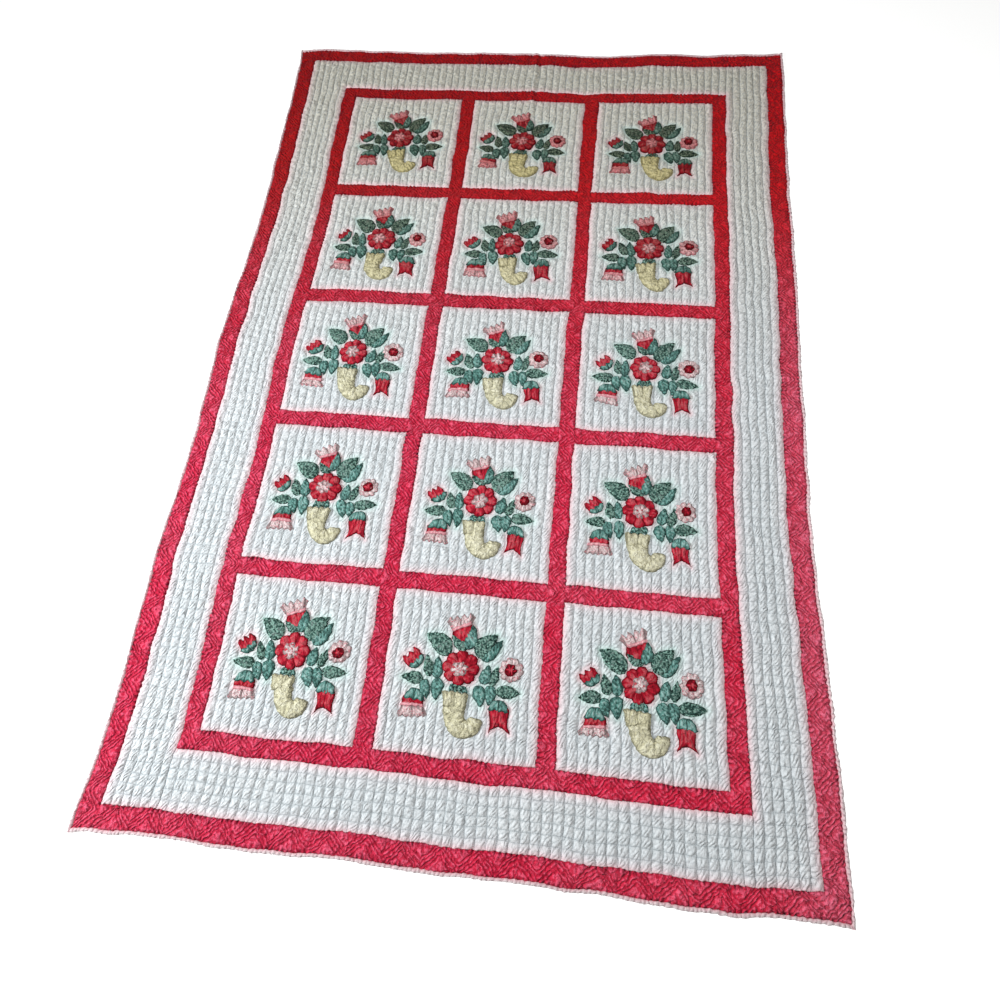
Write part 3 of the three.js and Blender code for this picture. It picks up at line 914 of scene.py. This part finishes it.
def towards(tree, axis, low, high):
    """Nought at one place along the cloth's X or Y, one at another, in metres."""
    place = add(tree, "SeparateXYZ")
    tree.links.new(spot(tree), place.inputs["Vector"])
    return ramp(tree, place.outputs[axis], low, high)


def patchy(tree, scale, detail=2.0, where=None):
    made = add(tree, "TexNoise")
    where = spot(tree) if where is None else where
    fill(tree, made, {"Vector": where, "Scale": scale, "Detail": detail})
    return made.outputs["Fac"]


# %% [markdown]
# Threads cross every half millimetre. Two wave textures at right angles give the weave, and cloudy noise,
# drawn out along the slant of the puckers, gives the creases that are too fine for the mesh.

# %% A cotton material
THREAD_SCALE, THREAD_DEPTH = 330, 0.00012
CREASE_SCALE, CREASE_DEPTH = 165, 0.0030
STITCH_LENGTH = 1.6
MATT = {"Roughness": 0.86, "Specular IOR Level": 0.1, "Sheen Weight": 0.04, "Sheen Roughness": 0.5}


def threads(tree):
    waves = []
    for direction in ("X", "Y"):
        made = add(tree, "TexWave", bands_direction=direction)
        fill(tree, made, {"Vector": spot(tree), "Scale": THREAD_SCALE, "Distortion": 1.2, "Detail": 1})
        waves.append(made.outputs["Fac"])
    return times(tree, *waves)


def bumped(tree, height, strength, distance, under=None):
    """Bumps that rise by a distance in metres, laid over the bumps under them."""
    made = add(tree, "Bump")
    fill(tree, made, {"Height": height, "Strength": strength, "Distance": distance})
    if under is not None:
        tree.links.new(under, made.inputs["Normal"])
    return made.outputs["Normal"]


def cotton(name, colour, slant=None, crease=0.6, relief=None, rise=0.002):
    """A material; colour and relief build its dye and its stitching, with painted shade and painted
    highlights in the colour, and slant turns its fine creases.
    """
    material = bpy.data.materials.new(name)
    material.use_nodes = True
    tree = material.node_tree
    drawn = spot(tree) if slant is None else spot(tree, (1, 0.6, 1), slant)
    normal = bumped(tree, threads(tree), 0.35, THREAD_DEPTH)
    normal = bumped(tree, patchy(tree, CREASE_SCALE, 2, drawn), crease, CREASE_DEPTH, normal)
    if relief:
        normal = bumped(tree, relief(tree), 1.0, rise, normal)
    cloth = tree.nodes["Principled BSDF"]
    fill(tree, cloth, {"Base Color": colour(tree), "Normal": normal, **MATT})
    return material


def stitch_groove_shade(tree, off, run, width):
    """Painted shade in the groove of a row of stitches: a fine dark line, broken by a lighter thread every 3
    mm.
    """
    line = calc(tree, "SUBTRACT", 1.0, ramp(tree, off, width * 0.3, width))
    dash = ramp(tree, calc(tree, "PINGPONG", run, STITCH_LENGTH), 0.5, 0.9)
    return times(tree, line, calc(tree, "MULTIPLY_ADD", dash, -0.45, 1.0))


# %% [markdown]
# ## Finishes
# White cotton is a cool white, with painted shade in its hollows, creases and stitch grooves and a painted
# warm shade towards the head, and faintly pink where red dye has bled at a seam. The red is painted darker
# towards the head as shade, with painted shade in its hollows and grooves and painted highlights on its
# crests, and has washed out in clouds, most of all near the foot and the right edge.

# %% White cotton
COLUMN_MM, ROW_MM = 21.0, 21.8
LINE_WIDTH = 0.9


def strand_crest(tree):
    """Nought in the crease between two puckers, one on the crest."""
    return calc(tree, "ABSOLUTE", calc(tree, "SINE", times(tree, noted(tree, "strand"), math.pi)))


def strand_height(tree):
    """The height of the puckers, flatter where they are weak."""
    return times(tree, strand_crest(tree), noted(tree, "depth"))


def off_line(tree, name, pitch):
    """Distance from the nearest row of stitches, in mm."""
    return times(tree, calc(tree, "PINGPONG", noted(tree, name), 0.5), pitch)


def white_stitch_shade(tree):
    """Painted shade along the rows of stitches: columns everywhere; rows most of all in the borders and
    towards the foot.
    """
    column = stitch_groove_shade(tree, off_line(tree, "across", COLUMN_MM), noted(tree, "run"), LINE_WIDTH)
    row_run = times(tree, noted(tree, "across"), COLUMN_MM)
    row = stitch_groove_shade(tree, off_line(tree, "along", ROW_MM), row_run, LINE_WIDTH)
    beside = calc(tree, "MAXIMUM", towards(tree, "X", -0.57, -0.6), towards(tree, "X", 0.57, 0.6))
    border = calc(tree, "MAXIMUM", towards(tree, "Y", -0.96, -1.0), beside)
    shown = calc(tree, "MULTIPLY_ADD", border, 0.45, 0.45)
    shown = times(tree, shown, towards(tree, "Y", 0.6, -0.6))
    return calc(tree, "MAXIMUM", column, times(tree, row, shown))


def white_colour(tree):
    cloud = ramp(tree, patchy(tree, 7), 0.35, 0.7)
    cloth = blend(tree, cloud, (0.80, 0.83, 0.85), (0.85, 0.87, 0.885))
    # Painted warm shade: the cloth turns warmer and a little darker towards the head.
    cloth = blend(tree, towards(tree, "Y", -0.2, 1.25), cloth, (0.82, 0.775, 0.655))
    # Painted shade: grey in the low cloth between the rows of stitches and in the creases between the
    # puckers.
    cloth = stain_and_painted_light(tree, cloth, ramp(tree, noted(tree, "puff"), 0.75, 0.0), 0.5, (0.38, 0.42, 0.44))
    crease = times(tree, ramp(tree, strand_crest(tree), 0.85, 0.0), noted(tree, "depth"))
    cloth = stain_and_painted_light(tree, cloth, crease, 0.36, (0.38, 0.42, 0.44))
    # Painted shade of small crinkles: grey in small clouds.
    cloth = stain_and_painted_light(tree, cloth, ramp(tree, patchy(tree, 190, 3), 0.56, 0.34), 0.55, (0.45, 0.49, 0.51))
    cloth = stain_and_painted_light(tree, cloth, noted(tree, "mint"), 0.6, (0.62, 0.86, 0.80))
    cloth = stain_and_painted_light(tree, cloth, noted(tree, "seam"), 0.9, (0.98, 0.64, 0.68))
    # Painted shade in the stitch grooves, broken by the lighter thread.
    return stain_and_painted_light(tree, cloth, white_stitch_shade(tree), 0.6, (0.20, 0.23, 0.25))


white_cotton = cotton("white_cotton", white_colour, slant=-52, relief=strand_height, rise=0.0017)


# %% Red cotton
def red_dye(tree):
    """Red painted darker towards the head as shade, a clearer red below, and pink where it washed out: in
    clouds and at the right.
    """
    head = blend(tree, towards(tree, "X", -0.6, 0.7), (0.56, 0.007, 0.006), (0.80, 0.009, 0.012))
    foot = blend(tree, towards(tree, "X", -0.6, 0.7), (0.85, 0.016, 0.078), (0.98, 0.018, 0.072))
    # Painted shade: the red darkens towards the head.
    cloth = blend(tree, towards(tree, "Y", -0.4, 0.65), foot, head)
    cloud = ramp(tree, patchy(tree, 4.5, 3), 0.35, 0.72)
    clouds = times(tree, towards(tree, "Y", 0.95, -0.3), calc(tree, "MULTIPLY_ADD", cloud, 0.2, 0.06))
    right = times(tree, towards(tree, "X", 0.60, 0.78), towards(tree, "Y", 0.6, -0.1))
    washed = calc(tree, "MULTIPLY_ADD", right, 0.5, clouds)
    return blend(tree, washed, cloth, (1.0, 0.18, 0.29))


def zigzag_off(tree):
    """Distance from the nearest of the four stitched lines of the zigzag, in mm."""
    level = noted(tree, "level")
    step = calc(tree, "PINGPONG", calc(tree, "ADD", level, 100.5 * LINE_STEP), LINE_STEP / 2)
    outside = calc(tree, "SUBTRACT", calc(tree, "ABSOLUTE", level), BAND)
    return times(tree, calc(tree, "MAXIMUM", step, outside), SQUARE_TO_LINE)


def puckers(tree):
    """Nought in a small crease between the stitches, one on the crest beside it."""
    return ramp(tree, patchy(tree, 150, 2), 0.36, 0.62)


def zigzag_relief(tree):
    return calc(tree, "MULTIPLY_ADD", puckers(tree), 0.9, ramp(tree, zigzag_off(tree), 0.0, 3.0))


def red_colour(tree):
    off = zigzag_off(tree)
    # Painted highlight: pink on the crests of the puckers, most towards the foot.
    crest = times(tree, puckers(tree), ramp(tree, off, 0.8, 3.0))
    crest_highlight = times(tree, crest, towards(tree, "Y", 0.7, -0.1))
    cloth = stain_and_painted_light(tree, red_dye(tree), crest_highlight, 0.42, (0.95, 0.20, 0.30), "SCREEN")
    # Painted shade: dark red in the small creases and low beads, strongest towards the head.
    low = calc(tree, "SUBTRACT", 0.7, puckers(tree))
    low = calc(tree, "MAXIMUM", ramp(tree, noted(tree, "bead"), 0.4, 0.0), low)
    most = calc(tree, "MULTIPLY_ADD", towards(tree, "Y", 0.7, 1.1), 0.45, 0.58)
    cloth = stain_and_painted_light(tree, cloth, low, most, (0.32, 0.003, 0.013))
    # Painted shade: dark red beside the zigzag stitching and along the seams.
    broken = calc(tree, "MULTIPLY_ADD", ramp(tree, patchy(tree, 75, 2), 0.4, 0.6), 0.7, 0.3)
    hollow = times(tree, calc(tree, "SUBTRACT", 1.0, ramp(tree, off, 0.2, 3.0)), broken)
    by_seam = times(tree, noted(tree, "seam"), 0.45)
    hollow = calc(tree, "MAXIMUM", times(tree, hollow, 0.36), by_seam)
    cloth = blend(tree, hollow, cloth, (0.25, 0.002, 0.012))
    # Painted shade in the grooves of the zigzag stitching.
    cloth = stain_and_painted_light(tree, cloth, stitch_groove_shade(tree, off, noted(tree, "run"), 0.8), 0.2, (0.16, 0.002, 0.010))
    # Painted shade in the small tucks along the seams.
    return blend(tree, noted(tree, "tick"), cloth, (0.10, 0.002, 0.010))


red_cotton = cotton("red_cotton", red_colour, crease=0.8, relief=zigzag_relief)


# %% Binding and sewn-on cloths
def binding_colour(tree):
    cloth = blend(tree, patchy(tree, 30), (0.84, 0.83, 0.82), (0.90, 0.89, 0.88))
    # Painted shade in the hollows between the hem puckers.
    cloth = stain_and_painted_light(tree, cloth, ramp(tree, noted(tree, "puff"), 0.75, 0.2), 0.8, (0.30, 0.27, 0.28))
    return stain_and_painted_light(tree, cloth, noted(tree, "seam"), 0.8, (0.84, 0.40, 0.46))


def toned(tree, dark, light, depth, gleam=0.3):
    """One cloth, a little lighter or darker from patch to patch, with painted shade in its creases and a
    painted highlight on the crests.
    """
    share = calc(tree, "MULTIPLY_ADD", noted(tree, "tone"), 0.3, patchy(tree, 40))
    cloth = blend(tree, share, dark, light)
    # Painted highlight on the crests.
    pale = tuple(0.5 * part + 0.42 for part in light)
    cloth = stain_and_painted_light(tree, cloth, ramp(tree, noted(tree, "puff"), 0.6, 1.0), gleam, pale)
    # Painted shade in the small creases and at the patch edges.
    dimple = times(tree, ramp(tree, puckers(tree), 0.5, 0.0), 0.3)
    hollow = times(tree, ramp(tree, noted(tree, "puff"), 0.8, 0.05), 0.9)
    deep = tuple(depth * part for part in dark)
    return blend(tree, calc(tree, "MAXIMUM", dimple, hollow), cloth, deep)


def shaded_towards_head(tree, cloth, tint):
    """Painted shade: deeper and warmer towards the head."""
    return blend(tree, towards(tree, "Y", -0.1, 0.7), cloth, tint, "MULTIPLY")


def flecked(tree, ground, scale, low, high, fleck):
    """A small all-over print: soft flecks from noise."""
    marks = ramp(tree, patchy(tree, scale, 1.0), low, high)
    return blend(tree, marks, ground, fleck)


def teal_colour(tree):
    cloth = toned(tree, (0.135, 0.345, 0.30), (0.25, 0.52, 0.47), 0.14, 0.45)
    return shaded_towards_head(tree, cloth, (0.68, 0.58, 0.51))


def green_print_colour(tree):
    ground = toned(tree, (0.028, 0.088, 0.073), (0.078, 0.18, 0.15), 0.15, 0.42)
    cloth = flecked(tree, ground, 230, 0.45, 0.63, (0.26, 0.44, 0.37))
    return shaded_towards_head(tree, cloth, (0.65, 0.49, 0.40))


def rose_colour(tree):
    cloth = toned(tree, (0.52, 0.010, 0.028), (0.70, 0.022, 0.054), 0.16, 0.2)
    return shaded_towards_head(tree, cloth, (0.68, 0.68, 0.52))


def pink_print_colour(tree):
    ground = toned(tree, (0.86, 0.62, 0.62), (0.95, 0.78, 0.78), 0.28)
    cloth = flecked(tree, ground, 300, 0.56, 0.66, (0.70, 0.26, 0.30))
    return shaded_towards_head(tree, cloth, (0.90, 0.46, 0.46))


def yellow_colour(tree):
    ground = toned(tree, (0.78, 0.73, 0.48), (0.88, 0.84, 0.62), 0.3)
    cloth = flecked(tree, ground, 380, 0.56, 0.70, (0.72, 0.66, 0.42))
    return shaded_towards_head(tree, cloth, (0.88, 0.81, 0.58))


def fold_colour(tree):
    cloth = toned(tree, (0.92, 0.38, 0.43), (0.97, 0.50, 0.54), 0.6)
    return shaded_towards_head(tree, cloth, (0.75, 0.5, 0.45))


binding_cotton = cotton("binding_cotton", binding_colour)
patch_looks = {
    "teal": ("teal_cotton", teal_colour),
    "green_print": ("green_print_cotton", green_print_colour),
    "rose_red": ("rose_red_cotton", rose_colour),
    "pink_print": ("pink_print_cotton", pink_print_colour),
    "yellow": ("yellow_print_cotton", yellow_colour),
}
patch_cottons = {
    name: (slot, cotton(slot, colour, relief=puckers)) for name, (slot, colour) in patch_looks.items()
}
patch_cottons["pink_fold"] = ("pink_print_cotton", cotton("pink_fold_cotton", fold_colour))
print("finishes:", [m.name for m in bpy.data.materials if m.name.endswith("cotton")])

# %% [markdown]
# ## Hand the pieces to the frame
# Each sheet takes the place of its solid and says which finish it has.

# %% Declare every piece
bouquet_nodes = [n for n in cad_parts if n.startswith("bouquet")]
for name, piece in patch_pieces.items():
    slot, finish = patch_cottons[name]
    piece.data.materials.append(finish)
    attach(piece, "root")
    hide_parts(*bouquet_nodes)


def declare(piece, finish):
    """Gives a sheet its finish and says what it stands for."""
    piece.data.materials.clear()
    piece.data.materials.append(finish)
    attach(piece, "root")
    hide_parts(piece.name.removeprefix("cloth_"))


for node, box in blocks.items():
    declare(white_pieces[f"cloth_{node}"], white_cotton)
for node, box in white_borders.items():
    declare(white_pieces[f"cloth_{node}"], white_cotton)
for node, box in {**strips, **red_borders}.items():
    declare(red_pieces[f"cloth_{node}"], red_cotton)
for node, box in bindings.items():
    declare(binding_pieces[f"cloth_{node}"], binding_cotton)
shown = [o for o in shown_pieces() if o.type == "MESH"]
triangles = [sum(len(p.vertices) - 2 for p in o.data.polygons) for o in shown]
print("pieces:", len(shown), "triangles:", sum(triangles), "most in one:", max(triangles))

# %% [markdown]
# ## Floor and light
# The floor is plain and near white. A soft light stands low on the left, as from a window, and picks out the
# rows of stitches. A second one hangs over the near half and a warm, dim sky fills the rest, so the head end
# is dimmest.

# %% Floor
FLOOR_SIZE, FLOOR_LEVEL = 60, -0.0006
bpy.ops.object.select_all(action="DESELECT")
bpy.ops.mesh.primitive_plane_add(size=FLOOR_SIZE, location=(0, 0, FLOOR_LEVEL))
floor = bpy.context.object
floor.name = "floor"
floor_finish = bpy.data.materials.new("floor_white")
floor_finish.use_nodes = True
floor_tree = floor_finish.node_tree
plain = {"Base Color": (0.9, 0.9, 0.9), "Roughness": 1.0, "Specular IOR Level": 0.0}
glow = {"Emission Color": (1, 1, 1), "Emission Strength": 0.62}
fill(floor_tree, floor_tree.nodes["Principled BSDF"], {**plain, **glow})
floor.data.materials.append(floor_finish)

# %% Light
def soft_light(name, place, aim, size, energy, colour):
    """A round lamp that is aimed at a point."""
    bpy.ops.object.light_add(type="AREA", location=place)
    lamp = bpy.context.object
    lamp.name = name
    lamp.data.shape = "DISK"
    lamp.data.size = size
    lamp.data.energy = energy
    lamp.data.color = colour
    lamp.rotation_euler = (lamp.location - Vector(aim)).to_track_quat("Z", "Y").to_euler()
    print(name, "at, m:", [round(v, 2) for v in lamp.location])


cool, clear = (0.95, 1.0, 1.02), (0.98, 0.99, 1.0)
soft_light("window_light", (-2.6, -0.9, 1.35), aim=(0.1, -0.6, 0), size=0.8, energy=83, colour=cool)
soft_light("ceiling_light", (0.35, -0.3, 2.4), aim=(0.35, -0.29, 0), size=1.0, energy=32, colour=clear)
sky = bpy.context.scene.world or bpy.data.worlds.new("sky")
bpy.context.scene.world = sky
sky.use_nodes = True
fill(sky.node_tree, sky.node_tree.nodes["Background"], {"Color": (1.0, 0.95, 0.84), "Strength": 0.1})
bpy.context.scene.view_settings.view_transform = "Standard"
bpy.context.scene.view_settings.look = "None"
